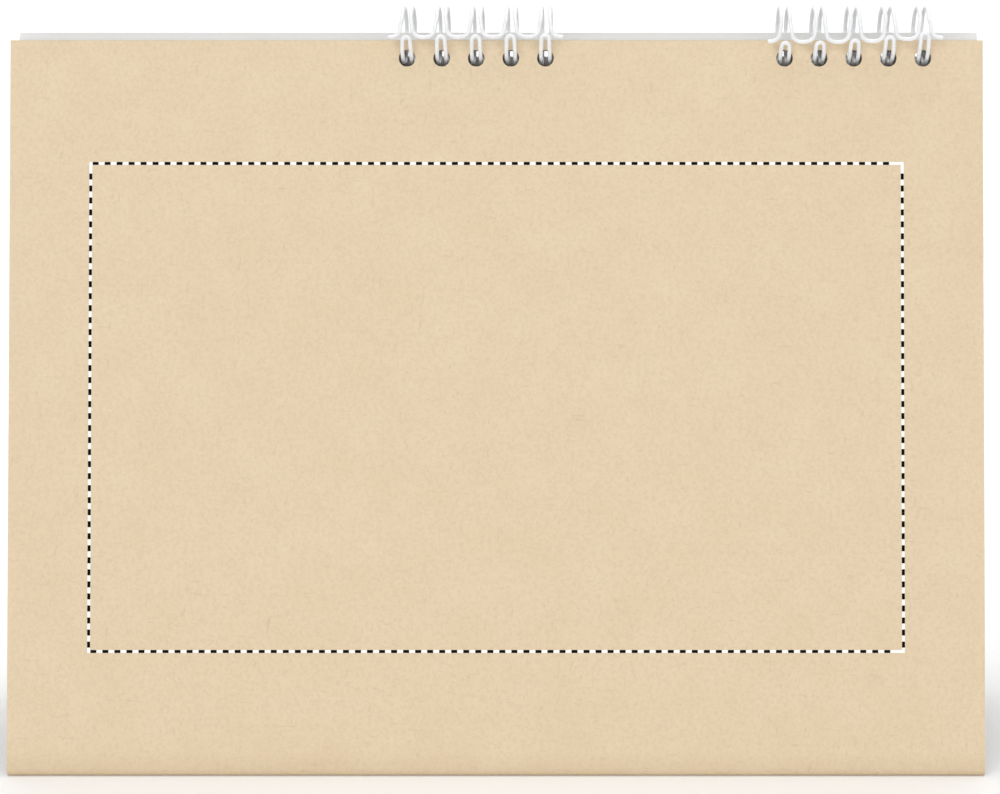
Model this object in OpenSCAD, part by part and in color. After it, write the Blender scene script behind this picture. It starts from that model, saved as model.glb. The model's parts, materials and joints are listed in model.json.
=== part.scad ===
// Flip desk calendar: two kraft-covered boards joined at the top by twin-loop wire,
// standing as a tent on a creased base that folds up between them, with seven leaves.
// Each board is drawn in its own frame: the ring axis is its x axis, z runs up the slope
// and -y points away from the other board. Everything is in millimetres, +Z up at rest.

/* [Boards] */
// Width of the boards
board_w = 238; // [200:1:300]
// Height of a board along its slope, top edge to the outside of the bottom crease
board_h = 179.5; // [150:0.5:220]
// Thickness of the grey board core
core_t = 1.1; // [0.9:0.05:1.4]
// Thickness of the kraft cover paper and of the lining paper
paper_t = 0.25; // [0.15:0.05:0.3]
// Lean of each board from upright
lean = 11; // [9:0.5:13]

/* [Base] */
// Rise of each base half above level when the calendar stands
base_rise = 28; // [20:1:35]
// Length of a base half from its bottom crease to its free edge
base_len = 35.6; // [30:0.1:38]

/* [Binding] */
// Radius of the wire's centreline
ring_r = 6.6; // [5.5:0.1:8]
// Diameter of the coated wire
wire_d = 1.0; // [0.8:0.1:1.2]
// Distance between neighbouring loops
pitch = 8.467; // [8.4:0.001:8.5]
// Distance between the two strands of a loop
strand_gap = 2.2; // [1.8:0.1:2.6]
// Number of loops in each group
loops = 5; // [3:1:8]
// Centre of the first group, measured from the middle of the board
group_a = -5.0; // [-20:0.5:20]
// Centre of the second group, measured from the middle of the board
group_b = 87.4; // [60:0.1:95]
// Diameter of the punched holes
hole_d = 4.1; // [3.8:0.1:4.4]
// Distance of the hole centres below a board's top edge
hole_edge = 4.4; // [4:0.1:6]

/* [Leaves] */
// Height of a leaf
leaf_h = 174; // [150:1:180]
// Thickness of a leaf
leaf_t = 0.18; // [0.12:0.02:0.22]
// Distance of the hole centres below a leaf's top edge
leaf_edge = 4.0; // [3.5:0.1:5]

/* [Printed frame] */
// Width of the printed frame on the front board
print_w = 199.1; // [120:0.1:220]
// Height of the printed frame
print_h = 119.8; // [80:0.1:150]
// Width of the printed line
line_w = 0.73; // [0.5:0.01:1]
// Length of one dash and of the gap after it
dash = 1.464; // [1:0.005:3]

/* [Hidden] */
board_t = core_t + 2 * paper_t;
inner = 1.8;                       // ring axis to the inside face of a board
outer = inner + board_t;
hole_y = inner + board_t / 2;
hole_s = sqrt(ring_r * ring_r - hole_y * hole_y);
board_top = hole_s - hole_edge;
crease_s = board_top + board_h - board_t;
land = 0.06;                       // depth of the flat the creases stand on
axis_z = board_t - land;
axis_y = crease_s * sin(lean) + inner * cos(lean);
ring_z = axis_z + crease_s * cos(lean) - inner * sin(lean);
gap = 0.35;                        // board core to crease axis
leaf_gap = 0.07;
leaf_first = outer + 0.2;
frame_mid = -(board_top + board_h / 2);
seam_low = 76;                     // lowest point of the bends between loops
tip_low = 53;                      // where the hairpin legs leave the circle
tip_top = 72;                      // centre of the round end of a hairpin
tip_r = 0.9;
bend_r = 2.4;
seam_high = seam_low + 2 * asin(bend_r / 2 / ring_r); // where the strands leave the circle
knee_d = wire_d + 0.05;

kraft = [0.80, 0.65, 0.47];
grey = [0.62, 0.61, 0.58];
white = [0.95, 0.95, 0.94];
slate = [0.56, 0.53, 0.51];         // the lining paper, which the holes show as dark
ink = [0.03, 0.03, 0.03];

function hole_xs() = [for (g = [group_a, group_b], i = [0 : loops - 1])
    g + (i - (loops - 1) / 2) * pitch];

// A board frame: the front one as it is, the rear one as its mirror image.
module front_frame() translate([0, 0, ring_z]) rotate([-lean, 0, 0]) children();
module rear_frame() mirror([0, 1, 0]) front_frame() children();

// The row of punched holes through everything between two distances from the ring axis.
module holes(y0, y1, s) {
    for (x = hole_xs())
        translate([x, -y0 + 1, -s]) rotate([90, 0, 0]) cylinder(d = hole_d, h = y1 - y0 + 2, $fn = 48);
}

// One layer of an upright board, from one distance to another from the ring axis.
module board_layer(y0, y1, low) {
    difference() {
        translate([-board_w / 2, -y1, -low]) cube([board_w, y1 - y0, low - board_top]);
        holes(y0, y1, hole_s);
    }
}

module board_core() board_layer(inner + paper_t, outer - paper_t, crease_s - gap);
module board_cover() board_layer(outer - paper_t, outer, crease_s);
module board_lining() board_layer(inner, inner + paper_t, crease_s - gap);

// A strip of bent paper along the crease: radii from r0 to r1, turning from a0 to a1
// degrees counted from +y, seen with +x towards the eye.
module bent_strip(r0, r1, a0, a1) {
    translate([-board_w / 2, 0, 0]) rotate([90, 0, 90]) rotate([0, 0, a0])
        rotate_extrude(angle = a1 - a0, $fn = 96)
            polygon([[r0, 0], [r1, 0], [r1, board_w], [r0, board_w]]);
}

// The paper turned round the bottom edge of an upright board, with a narrow flat to stand on.
module board_crease() {
    difference() {
        translate([0, -axis_y, axis_z])
            bent_strip(board_t - paper_t, board_t, 180 - lean, 268 + base_rise);
        translate([-board_w, -axis_y - 5, -5]) cube([2 * board_w, 10, 5]);
    }
}

// The base half's own frame: origin on the crease axis, y along the half, z up off it.
module base_frame() translate([0, -axis_y, axis_z]) rotate([base_rise, 0, 0]) children();

module base_layer(z0, z1) translate([-board_w / 2, gap, z0]) cube([board_w, base_len - gap, z1 - z0]);

module base_core() base_frame() base_layer(paper_t - board_t, -paper_t);
module base_lining() base_frame() base_layer(-paper_t, 0);

// Points on an arc about the crease axis, in the base half's y-z plane.
function arc(r, a0, a1, n) = [for (i = [0 : n]) let (a = a0 + (a1 - a0) * i / n) [r * cos(a), r * sin(a)]];

// The underside paper, with the tongue of paper that stays tucked behind the crease.
module base_cover() base_frame() translate([-board_w / 2, 0, 0]) rotate([90, 0, 90])
    linear_extrude(height = board_w)
        polygon(concat([[base_len, -board_t], [0.05, -board_t], [0.05, -1.3]],
                       arc(1.3, 268, 170, 24), arc(1.05, 170, 268, 24),
                       [[gap, -1.05], [gap, paper_t - board_t], [base_len, paper_t - board_t]]));

// Half of the paper strip between the two base halves, cut off at the middle.
module mid_half() {
    difference() {
        base_frame() translate([-board_w / 2, base_len + 0.02, -board_t]) cube([board_w, 12, paper_t]);
        translate([-board_w, 0, 0]) cube([2 * board_w, 20, 60]);
    }
}

// A point on the ring's centreline: the angle is counted from straight down the front
// board, turning outwards and up.
function ring_pt(x, a) = [x, -ring_r * sin(a), -ring_r * cos(a)];

// A straight length of wire.
module rod(a, b) {
    d = b - a;
    len = norm(d);
    translate(a) rotate([0, acos(d[2] / len), atan2(d[1], d[0])])
        cylinder(d = wire_d, h = len, $fn = 24);
}

// The coating at a place where the wire changes direction.
module knee(p) translate(p) sphere(d = knee_d, $fn = 24);

// A bend in the x-z plane, from +x towards +z.
module bend(r, turn) rotate([90, 0, 0]) rotate_extrude(angle = turn, $fn = 48)
    translate([r, 0]) circle(d = wire_d, $fn = 24);

// One strand of a loop, from the foot of the hairpin round the back to the seam.
module strand(x) {
    translate([x, 0, 0]) rotate([0, 90, 0]) rotate([0, 0, -tip_low])
        rotate_extrude(angle = 360 + tip_low - seam_high, $fn = 96)
            translate([ring_r, 0]) circle(d = wire_d, $fn = 24);
    knee(ring_pt(x, seam_high));
    knee(ring_pt(x, tip_low));
}

// The closed round end of a hairpin, and its two legs.
module hairpin(x) {
    for (s = [-1, 1]) {
        rod(ring_pt(x + s * strand_gap / 2, tip_low), ring_pt(x + s * tip_r, tip_top));
        knee(ring_pt(x + s * tip_r, tip_top));
    }
    translate(ring_pt(x, tip_top)) rotate([90 - tip_top, 0, 0]) bend(tip_r, 180);
}

// Half of the bend that carries the wire to the next loop, on side s of a loop.
module half_bend(x, s) {
    low = ring_pt(x + s * (strand_gap / 2 + bend_r), seam_low);
    knee(low);
    translate(low) rotate([90 - (seam_low + seam_high) / 2, 0, 0]) translate([0, 0, bend_r])
        rotate([180, 0, s > 0 ? 180 : 0]) bend(bend_r, 90);
}

// A length of wire bent into a row of loops and closed into rings.
module twin_loop(centre) front_frame() {
    side = strand_gap / 2 + bend_r;
    for (i = [0 : loops - 1]) {
        x = centre + (i - (loops - 1) / 2) * pitch;
        for (s = [-1, 1]) {
            strand(x + s * strand_gap / 2);
            half_bend(x, s);
        }
        hairpin(x);
        if (i < loops - 1)
            rod(ring_pt(x + side, seam_low), ring_pt(x + pitch - side, seam_low));
    }
    for (s = [-1, 1]) {
        x = centre + s * (loops - 1) / 2 * pitch;
        rod(ring_pt(x + s * side, seam_low), ring_pt(x + s * pitch / 2, seam_low));
    }
}

// The printed frame: a thin white line with black dashes along it.
module bar(w, h, t) translate([-w / 2, -outer - t, frame_mid - h / 2]) cube([w, t, h]);
module printed_line() {
    difference() {
        bar(print_w, print_h, 0.03);
        bar(print_w - 2 * line_w, print_h - 2 * line_w, 0.03 + 1);
    }
}
module printed_dashes() {
    nx = floor(print_w / (2 * dash));
    nz = floor(print_h / (2 * dash));
    for (i = [0 : nx - 1], z = [0, print_h - line_w])
        translate([-print_w / 2 + 0.8 + 2 * dash * i, -outer - 0.05, frame_mid - print_h / 2 + z])
            cube([dash, 0.02, line_w]);
    for (i = [0 : nz - 1], x = [0, print_w - line_w])
        translate([-print_w / 2 + x, -outer - 0.05, frame_mid - print_h / 2 + 1.3 + 2 * dash * i])
            cube([line_w, 0.02, dash]);
}

// A leaf, counted outwards from the rear board.
module leaf(k) {
    y0 = leaf_first + (k - 1) * (leaf_t + leaf_gap);
    s = sqrt(ring_r * ring_r - pow(y0 + leaf_t / 2, 2));
    difference() {
        translate([-board_w / 2, -y0 - leaf_t, -(s - leaf_edge) - leaf_h]) cube([board_w, leaf_t, leaf_h]);
        holes(y0, y0 + leaf_t, s);
    }
}

// The ruled month table printed on the outermost leaf.
module table() {
    y0 = leaf_first + 7 * leaf_t + 6 * leaf_gap;
    for (i = [0 : 7]) translate([-105 + 30 * i - 0.15, -y0 - 0.03, -160]) cube([0.3, 0.03, 120.3]);
    for (j = [0 : 6]) translate([-105, -y0 - 0.03, -160 + 20 * j]) cube([210, 0.03, 0.3]);
}

module front_core() color(grey) front_frame() board_core();
module front_cover() color(kraft) front_frame() board_cover();
module front_lining() color(slate) front_frame() board_lining();
module front_crease() color(kraft) board_crease();
module wire_left() color(white) twin_loop(group_a);
module wire_right() color(white) twin_loop(group_b);
module frame_line() color(white) front_frame() printed_line();
module frame_dashes() color(ink) front_frame() printed_dashes();
module rear_core() color(grey) rear_frame() board_core();
module rear_cover() color(kraft) rear_frame() board_cover();
module rear_lining() color(slate) rear_frame() board_lining();
module rear_crease() color(kraft) mirror([0, 1, 0]) board_crease();
module base_front_core() color(grey) base_core();
module base_front_cover() color(kraft) base_cover();
module base_front_lining() color(slate) base_lining();
module base_rear_core() color(grey) mirror([0, 1, 0]) base_core();
module base_rear_cover() color(kraft) mirror([0, 1, 0]) base_cover();
module base_rear_lining() color(slate) mirror([0, 1, 0]) base_lining();
module mid_crease() color(kraft) {
    mid_half();
    mirror([0, 1, 0]) mid_half();
}
module leaf_1() color(white) rear_frame() leaf(1);
module leaf_2() color(white) rear_frame() leaf(2);
module leaf_3() color(white) rear_frame() leaf(3);
module leaf_4() color(white) rear_frame() leaf(4);
module leaf_5() color(white) rear_frame() leaf(5);
module leaf_6() color(white) rear_frame() leaf(6);
module leaf_7() color(white) rear_frame() leaf(7);
module month_grid() color(ink) rear_frame() table();

front_core();
front_cover();
front_lining();
front_crease();
wire_left();
wire_right();
frame_line();
frame_dashes();
rear_core();
rear_cover();
rear_lining();
rear_crease();
base_front_core();
base_front_cover();
base_front_lining();
base_rear_core();
base_rear_cover();
base_rear_lining();
mid_crease();
leaf_1();
leaf_2();
leaf_3();
leaf_4();
leaf_5();
leaf_6();
leaf_7();
month_grid();
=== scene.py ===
import json
import math
import random

import bpy
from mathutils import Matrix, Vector


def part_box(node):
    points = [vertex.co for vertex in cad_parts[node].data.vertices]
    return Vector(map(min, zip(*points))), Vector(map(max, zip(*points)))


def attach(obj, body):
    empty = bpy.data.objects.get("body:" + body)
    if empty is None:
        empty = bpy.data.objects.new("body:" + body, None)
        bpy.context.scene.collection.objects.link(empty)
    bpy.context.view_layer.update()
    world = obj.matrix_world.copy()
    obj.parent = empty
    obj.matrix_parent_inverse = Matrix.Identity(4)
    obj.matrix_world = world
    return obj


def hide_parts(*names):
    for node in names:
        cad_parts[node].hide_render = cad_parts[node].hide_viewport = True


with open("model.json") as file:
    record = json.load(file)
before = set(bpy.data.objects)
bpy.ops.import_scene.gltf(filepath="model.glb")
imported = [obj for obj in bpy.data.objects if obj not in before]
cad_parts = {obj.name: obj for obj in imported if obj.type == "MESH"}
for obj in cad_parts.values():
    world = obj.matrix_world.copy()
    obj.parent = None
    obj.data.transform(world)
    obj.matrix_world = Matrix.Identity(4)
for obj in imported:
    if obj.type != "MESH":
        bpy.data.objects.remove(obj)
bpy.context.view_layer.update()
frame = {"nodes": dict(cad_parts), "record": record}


joints = {j["name"]: j for j in frame["record"]["behaviour"]["joints"]}
RING = Vector(joints["stand_fold"]["pos_m"])
LEAN = math.radians(11)  # of the boards, from upright
MM = 0.001


# ---------------------------------------------------------------- camera
def add_camera():
    """Looks nearly straight on to the front board, from a little right of its middle."""
    cam = bpy.data.cameras.new("camera")
    obj = bpy.data.objects.new("camera", cam)
    bpy.context.scene.collection.objects.link(obj)
    distance = 500 * MM
    view_w = 244 * MM
    aside = 26 * MM
    tilt = math.radians(9.9)
    down, out, across = 89.0 * MM, 3.4 * MM, 0.9 * MM
    middle = RING + Vector((across, 0, 0))
    middle += Vector((0, -math.sin(LEAN), -math.cos(LEAN))) * down
    middle += Vector((0, -math.cos(LEAN), math.sin(LEAN))) * out
    aim = middle + Vector((aside, 0, 0))
    obj.location = aim + Vector((0, -math.cos(tilt), math.sin(tilt))) * distance
    obj.rotation_euler = (math.radians(90) - tilt, 0, 0)
    cam.sensor_width = 36
    cam.lens = cam.sensor_width * distance / view_w
    cam.shift_x = -aside / view_w
    cam.clip_start = 0.01
    cam.clip_end = 20
    bpy.context.scene.camera = obj


add_camera()


# ---------------------------------------------------------------- node helpers
def link(nt, a, b):
    nt.links.new(a, b)


def new_material(name):
    m = bpy.data.materials.new(name)
    m.use_nodes = True
    nt = m.node_tree
    return m, nt, nt.nodes["Principled BSDF"]


def noise(nt, vec, scale, detail=3.0, rough=0.55, distortion=0.0):
    n = nt.nodes.new("ShaderNodeTexNoise")
    n.inputs["Scale"].default_value = scale
    n.inputs["Detail"].default_value = detail
    n.inputs["Roughness"].default_value = rough
    n.inputs["Distortion"].default_value = distortion
    link(nt, vec, n.inputs["Vector"])
    return n.outputs["Fac"]


def ramp(nt, fac, stops):
    r = nt.nodes.new("ShaderNodeValToRGB")
    e = r.color_ramp.elements
    while len(e) < len(stops):
        e.new(0.5)
    for i, (pos, value) in enumerate(stops):
        e[i].position = pos
        v = value if isinstance(value, (tuple, list)) else (value, value, value)
        e[i].color = (*v[:3], 1)
    link(nt, fac, r.inputs["Fac"])
    return r.outputs["Color"]


def mix(nt, kind, fac, a, b):
    m = nt.nodes.new("ShaderNodeMix")
    m.data_type = "RGBA"
    m.blend_type = kind
    if isinstance(fac, float):
        m.inputs["Factor"].default_value = fac
    else:
        link(nt, fac, m.inputs["Factor"])
    for socket, v in (("A", a), ("B", b)):
        s = [i for i in m.inputs if i.name == socket and i.type == "RGBA"][0]
        if isinstance(v, (tuple, list)):
            s.default_value = (*v[:3], 1)
        else:
            link(nt, v, s)
    return [o for o in m.outputs if o.type == "RGBA"][0]


def turned(nt, vec, angle, stretch):
    """The same coordinates turned about the normal of the sheet and drawn out along one way."""
    m = nt.nodes.new("ShaderNodeMapping")
    m.vector_type = "TEXTURE"
    m.inputs["Rotation"].default_value = (0, angle, 0)
    m.inputs["Scale"].default_value = (1, 1, 1 / stretch)
    link(nt, vec, m.inputs["Vector"])
    return m.outputs["Vector"]


def fibre_layer(nt, vec, angle, scale, low, high, stretch=0.16):
    f = noise(nt, turned(nt, vec, angle, stretch), scale, 2.0, 0.5, 0.6)
    return ramp(nt, f, [(low, 0.0), (high, 1.0)])


def bump(nt, bsdf, height, distance, strength=1.0):
    b = nt.nodes.new("ShaderNodeBump")
    b.inputs["Distance"].default_value = distance
    b.inputs["Strength"].default_value = strength
    link(nt, height, b.inputs["Height"])
    link(nt, b.outputs["Normal"], bsdf.inputs["Normal"])


def coords(nt):
    return nt.nodes.new("ShaderNodeTexCoord").outputs["Object"]


def paper_material(name, base, dark, light, rough, fibre=0.5, relief=0.00003, foot_shade=0.0):
    """Uncoated paper: cloudy formation, fine grain, and short fibres lying every way.

    Paper with painted shade, darker towards the fold at the foot, takes the height up to which that painted
    shade shows."""
    m, nt, bsdf = new_material(name)
    vec = coords(nt)
    cloud = noise(nt, vec, 90, 4.0, 0.6)
    col = mix(nt, "MIX", ramp(nt, cloud, [(0.3, 0.0), (0.7, 1.0)]), dark, base)
    mottle = noise(nt, vec, 1000, 2.0, 0.6)
    spots = ramp(nt, mottle, [(0.38, 1.3 * fibre), (0.56, 0.0)])
    col = mix(nt, "MIX", spots, col, tuple(c * 0.9 for c in dark))
    grain = noise(nt, vec, 2200, 3.0, 0.7)
    col = mix(nt, "MIX", ramp(nt, grain, [(0.35, 0.0), (0.75, 0.55)]), col, light)
    for i, angle in enumerate((0.15, 0.9, 1.7, 2.5)):
        f = fibre_layer(nt, vec, angle, 1300 + 170 * i, 0.66, 0.74)
        tone = dark if i % 2 == 0 else light
        deep = tuple(c * 0.80 for c in tone) if i % 2 == 0 else tone
        fac = nt.nodes.new("ShaderNodeMath")
        fac.operation = "MULTIPLY"
        fac.inputs[1].default_value = fibre
        link(nt, f, fac.inputs[0])
        col = mix(nt, "MIX", fac.outputs[0], col, deep)
    if foot_shade:
        # painted shade: the colour darkens towards the floor, up to the given height, where the fold at the
        # foot turns away from the light
        height = nt.nodes.new("ShaderNodeSeparateXYZ")
        link(nt, vec, height.inputs["Vector"])
        share = nt.nodes.new("ShaderNodeMath")
        share.operation = "DIVIDE"
        share.inputs[1].default_value = foot_shade
        link(nt, height.outputs["Z"], share.inputs[0])
        shade = ramp(nt, share.outputs[0], [(0.0, (0.90, 0.88, 0.85)), (1.0, 1.0)])
        col = mix(nt, "MULTIPLY", 1.0, col, shade)
    link(nt, col, bsdf.inputs["Base Color"])
    link(nt, ramp(nt, grain, [(0.3, rough - 0.08), (0.7, rough + 0.08)]), bsdf.inputs["Roughness"])
    bump(nt, bsdf, grain, relief, 0.6)
    return m


def wire_material():
    """White nylon coating: slightly glossy, with the faint dimples of dipped plastic."""
    m, nt, bsdf = new_material("white_coated_wire")
    vec = coords(nt)
    n = noise(nt, vec, 900, 3.0, 0.6)
    col = ramp(nt, n, [(0.25, (0.80, 0.81, 0.83)), (0.7, (0.90, 0.91, 0.92))])
    link(nt, col, bsdf.inputs["Base Color"])
    link(nt, ramp(nt, n, [(0.3, 0.28), (0.75, 0.4)]), bsdf.inputs["Roughness"])
    bsdf.inputs["Coat Weight"].default_value = 0.25
    bump(nt, bsdf, noise(nt, vec, 1500, 2.0), 0.00002, 0.5)
    return m


def ink_material(name, tone, spread):
    m, nt, bsdf = new_material(name)
    vec = coords(nt)
    n = noise(nt, vec, 2600, 3.0, 0.7)
    a = tuple(max(c - spread, 0.002) for c in tone)
    b = tuple(min(c + spread, 0.98) for c in tone)
    link(nt, ramp(nt, n, [(0.3, a), (0.7, b)]), bsdf.inputs["Base Color"])
    link(nt, ramp(nt, n, [(0.3, 0.55), (0.7, 0.7)]), bsdf.inputs["Roughness"])
    bsdf.inputs["Specular IOR Level"].default_value = 0.04
    bump(nt, bsdf, n, 0.00001, 0.4)
    return m


def core_material():
    """Grey board: the cut edge shows pressed layers with darker flecks."""
    m, nt, bsdf = new_material("greyboard")
    vec = coords(nt)
    layers = nt.nodes.new("ShaderNodeMapping")
    layers.inputs["Scale"].default_value = (0.25, 5, 0.25)
    link(nt, vec, layers.inputs["Vector"])
    n = noise(nt, layers.outputs["Vector"], 900, 4.0, 0.65, 0.3)
    col = ramp(nt, n, [(0.25, (0.30, 0.28, 0.26)), (0.5, (0.40, 0.38, 0.36)),
                       (0.8, (0.50, 0.48, 0.46))])
    fleck = fibre_layer(nt, vec, 0.5, 1500, 0.68, 0.74)
    col = mix(nt, "MIX", fleck, col, (0.20, 0.17, 0.15))
    link(nt, col, bsdf.inputs["Base Color"])
    link(nt, ramp(nt, n, [(0.3, 0.85), (0.7, 0.98)]), bsdf.inputs["Roughness"])
    bump(nt, bsdf, n, 0.00006, 0.8)
    return m


# the kraft takes painted shade over its lowest 6 mm, towards the fold at the foot
KRAFT = paper_material("kraft_paper", (0.755, 0.614, 0.421), (0.718, 0.566, 0.374),
                       (0.800, 0.673, 0.488), 0.82, 0.36, foot_shade=0.006)
# the lining is painted dark grey-brown as painted shade for the inside of the tent, which is seen through the
# holes
PAINTED_SHADE_LINING = paper_material("lining_paper_painted_shade", (0.27, 0.245, 0.225), (0.225, 0.20, 0.18),
                        (0.34, 0.31, 0.285), 0.85, 0.3)
LEAF = paper_material("leaf_paper", (0.93, 0.93, 0.92), (0.91, 0.91, 0.90),
                      (0.95, 0.95, 0.945), 0.55, 0.12, 0.000015)
WIRE = wire_material()
INK = ink_material("black_ink", (0.0035, 0.0035, 0.0035), 0.0015)
INK_GREY = ink_material("grey_ink", (0.10, 0.10, 0.105), 0.02)
INK_WHITE = ink_material("white_ink", (0.95, 0.95, 0.94), 0.02)
CORE = core_material()

LOOKS = {"core": CORE, "cover": KRAFT, "crease": KRAFT, "lining": PAINTED_SHADE_LINING, "line": INK_WHITE,
         "dashes": INK, "grid": INK_GREY, "leaf": LEAF, "wire": WIRE}


def look_for(node):
    """Leaves and wires go by the first word of their name, all else by the last."""
    words = node.split("_")
    return LOOKS.get(words[0]) or LOOKS[words[-1]]


for name, obj in frame["nodes"].items():
    for slot in obj.material_slots:
        slot.material = look_for(name)


# ---------------------------------------------------------------- mesh helpers
def make_mesh(name, verts, faces, material, smooth=False):
    me = bpy.data.meshes.new(name)
    me.from_pydata([tuple(v) for v in verts], [], faces)
    me.materials.append(material)
    me.validate()
    if smooth:
        me.polygons.foreach_set("use_smooth", [True] * len(me.polygons))
    me.update()
    obj = bpy.data.objects.new(name, me)
    bpy.context.scene.collection.objects.link(obj)
    return obj


def board_point(x, out, down):
    """A point of the front board's frame: across, out from the ring axis, down the slope."""
    return RING + Vector((x, -out * math.cos(LEAN) - down * math.sin(LEAN),
                          out * math.sin(LEAN) - down * math.cos(LEAN)))


def tube(name, path, radius, material, sides=14):
    """A round wire swept along a path of points, with domed cut ends."""
    pts = [Vector(path[0])]
    pts += [Vector(b) for a, b in zip(path, path[1:]) if (b - a).length > 0.02 * MM]
    verts, faces = [], []
    tangents = []
    for i in range(len(pts)):
        a = pts[max(i - 1, 0)]
        b = pts[min(i + 1, len(pts) - 1)]
        tangents.append((b - a).normalized())
    normal = tangents[0].orthogonal().normalized()
    rings = []
    for i, (p, t) in enumerate(zip(pts, tangents)):
        if i:
            turn = tangents[i - 1].rotation_difference(t)
            normal = (turn @ normal).normalized()
        side = t.cross(normal)
        rings.append((p, t, normal.copy(), side))
    caps = [(0.30, 0.80), (0.10, 0.97)]  # how far past the end, and how wide, in radii

    def add_ring(p, n, s, r):
        for k in range(sides):
            a = 2 * math.pi * k / sides
            verts.append(p + (n * math.cos(a) + s * math.sin(a)) * r)

    p, t, n, s = rings[0]
    for past, r in caps:
        add_ring(p - t * radius * past, n, s, radius * r)
    for p, t, n, s in rings:
        add_ring(p, n, s, radius)
    p, t, n, s = rings[-1]
    for past, r in reversed(caps):
        add_ring(p + t * radius * past, n, s, radius * r)
    count = len(verts) // sides
    for i in range(count - 1):
        for k in range(sides):
            a, b = i * sides + k, i * sides + (k + 1) % sides
            faces.append((a, b, b + sides, a + sides))
    faces.append(tuple(reversed(range(sides))))
    faces.append(tuple((count - 1) * sides + k for k in range(sides)))
    return make_mesh(name, verts, faces, material, True)


# ---------------------------------------------------------------- binding wire
RING_R = 6.6 * MM    # of the loops' centreline
PITCH = 8.467 * MM
WIRE_R = 0.5 * MM
HALF = 1.05 * MM     # between the middle of a loop and one strand
SPREAD = 1.45 * MM   # the same where the strands leave the bends
CORNER = 2.3 * MM    # width of the round part of a bend
RISE = 2.1 * MM      # height of the round part of a bend
OVAL = 0.45 * MM     # how much a loop is drawn up at its top
SKEW = 0.1 * MM      # how far its top leans to the right
GATHER = 26          # degrees over which the strands come together
FOOT = 46            # where the hairpin's legs begin, in degrees


def ring_point(x, deg):
    """A point of a loop, which is drawn up a little and leans to the right at its top."""
    a = math.radians(deg)
    up = (1 - math.cos(a)) / 2
    r = RING_R + OVAL * up ** 2
    return board_point(x + SKEW * up, r * math.sin(a), r * math.cos(a))


def eased(t):
    return t * t * (3 - 2 * t)


def wire_path(centre, turns, rng):
    """One length of wire: half bend, then strand, hairpin, strand, bend, and so on.

    Turns gives, for each loop, where its bends lie and where its hairpin's end begins."""
    path = []
    rise = math.degrees(RISE / RING_R)
    wide = PITCH / 2 - SPREAD - CORNER
    for i, (x, low, tip) in enumerate((centre + (k - 2) * PITCH, *turns[k]) for k in range(5)):
        ends = [turns[max(i - 1, 0)][0], turns[min(i + 1, 4)][0]]
        twist = rng.uniform(-0.05, 0.05) * MM
        high = low + rise
        gathered = high + GATHER
        for s in (-1, 1):
            part = []
            level = (low + ends[(s + 1) // 2]) / 2
            for k in range(5):
                part.append(ring_point(x + s * (SPREAD + CORNER + wide * (1 - k / 5)), level))
            for k in range(9):
                t = math.pi / 2 * k / 8
                part.append(ring_point(x + s * (SPREAD + CORNER * (1 - math.sin(t))),
                                       level + (high - level) * (1 - math.cos(t))))
            for k in range(1, 7):
                t = k / 6
                apart = SPREAD + (HALF - SPREAD) * eased(t)
                part.append(ring_point(x + s * apart, high + GATHER * t))
            n = 74
            for k in range(1, n):
                d = gathered + (360 + FOOT - gathered) * k / n
                part.append(ring_point(x + s * HALF + twist * math.sin(math.pi * k / n), d))
            r = HALF - 0.1 * MM
            for k in range(7):
                t = k / 6
                part.append(ring_point(x + s * (HALF + (r - HALF) * t), FOOT + (tip - FOOT) * t))
            for k in range(1, 8):
                t = math.pi / 2 * k / 7
                part.append(ring_point(x + s * r * math.cos(t), tip + math.degrees(r * math.sin(t) / RING_R)))
            if s == 1:
                part = list(reversed(part))[1:]
            path += part
    return path


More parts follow.
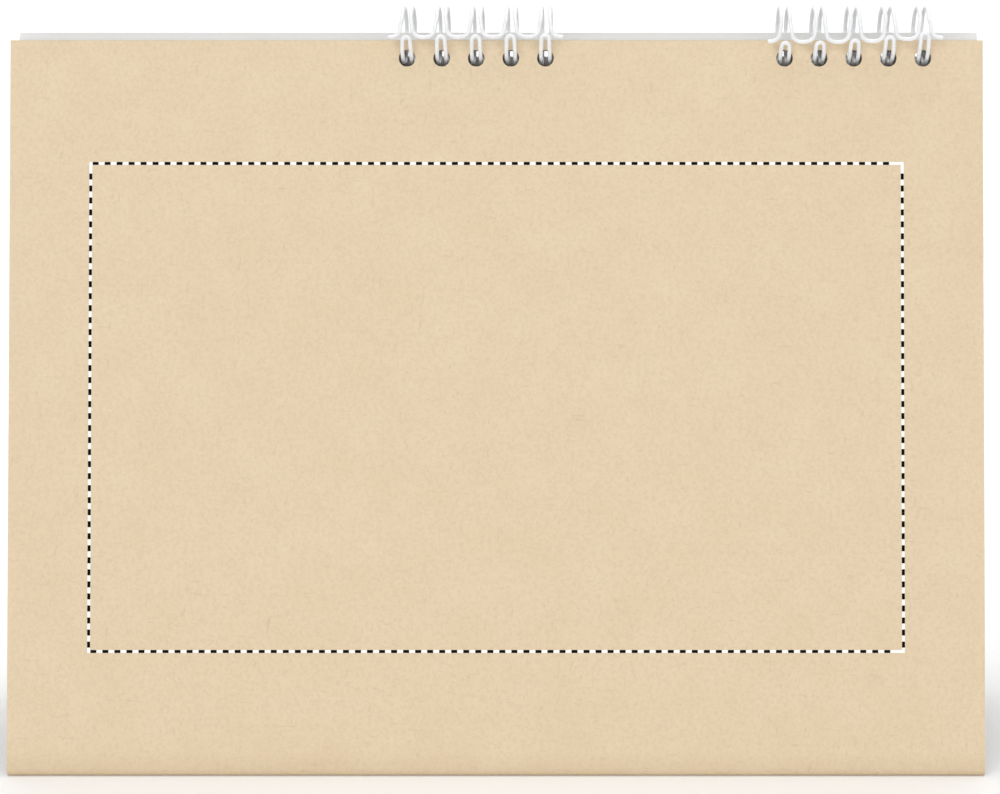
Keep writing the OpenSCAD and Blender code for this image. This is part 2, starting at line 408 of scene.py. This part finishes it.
RNG = random.Random(7)
TURNS = {"wire_left": [(77.0, 69.0), (77.0, 70.5), (77.5, 71.0), (77.5, 72.0), (78.0, 73.0)],
         "wire_right": [(68.0, 57.0), (66.5, 57.5), (67.5, 62.0), (70.0, 69.0), (76.0, 77.0)]}
for name, node in (("left_loops", "wire_left"), ("right_loops", "wire_right")):
    lo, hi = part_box(node)
    centre = (lo[0] + hi[0]) / 2
    wire = tube(name, wire_path(centre, TURNS[node], RNG), WIRE_R, WIRE)
    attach(wire, "front")
    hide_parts(node)


# ---------------------------------------------------------------- room
def add_floor():
    """A pale table that sweeps up into the backdrop."""
    verts, faces = [], []
    reach, back, sweep, top = 8.0, 1.2, 0.8, 4.0
    profile = [(-reach, 0.0), (back, 0.0)]
    for k in range(1, 13):
        a = math.radians(90 * k / 12)
        profile.append((back + sweep * math.sin(a), sweep * (1 - math.cos(a))))
    profile.append((back + sweep, top))
    for y, z in profile:
        verts += [(-reach, y, z), (reach, y, z)]
    for i in range(len(profile) - 1):
        faces.append((2 * i, 2 * i + 1, 2 * i + 3, 2 * i + 2))
    m, nt, bsdf = new_material("pale_sweep")
    vec = coords(nt)
    n = noise(nt, vec, 3.0, 2.0)
    link(nt, ramp(nt, n, [(0.3, 0.93), (0.7, 0.95)]), bsdf.inputs["Base Color"])
    bsdf.inputs["Roughness"].default_value = 0.75
    floor = make_mesh("floor", verts, faces, m, True)


def add_light(name, place, aim, size, power):
    data = bpy.data.lights.new(name, "AREA")
    data.shape = "RECTANGLE"
    data.size, data.size_y = size
    data.energy = power
    obj = bpy.data.objects.new(name, data)
    obj.location = place
    way = Vector(aim) - Vector(place)
    obj.rotation_euler = way.to_track_quat("-Z", "Y").to_euler()
    bpy.context.scene.collection.objects.link(obj)


add_floor()
add_light("key", (-0.9, -1.7, 1.1), (0, 0, 0.08), (1.3, 1.3), 13)
add_light("top", (0.1, -0.1, 1.5), (0, -0.1, 0.1), (1.2, 0.9), 9)
add_light("fill", (1.2, -1.7, 0.5), (0, 0, 0.08), (1.6, 0.9), 7)
add_light("backdrop", (0, 0.8, 1.3), (0, 1.7, 0.0), (2.8, 0.6), 15)

world = bpy.data.worlds.new("studio")
world.use_nodes = True
world.node_tree.nodes["Background"].inputs["Color"].default_value = (1, 1, 1, 1)
world.node_tree.nodes["Background"].inputs["Strength"].default_value = 0.42
bpy.context.scene.world = world
bpy.context.scene.view_settings.view_transform = "Standard"
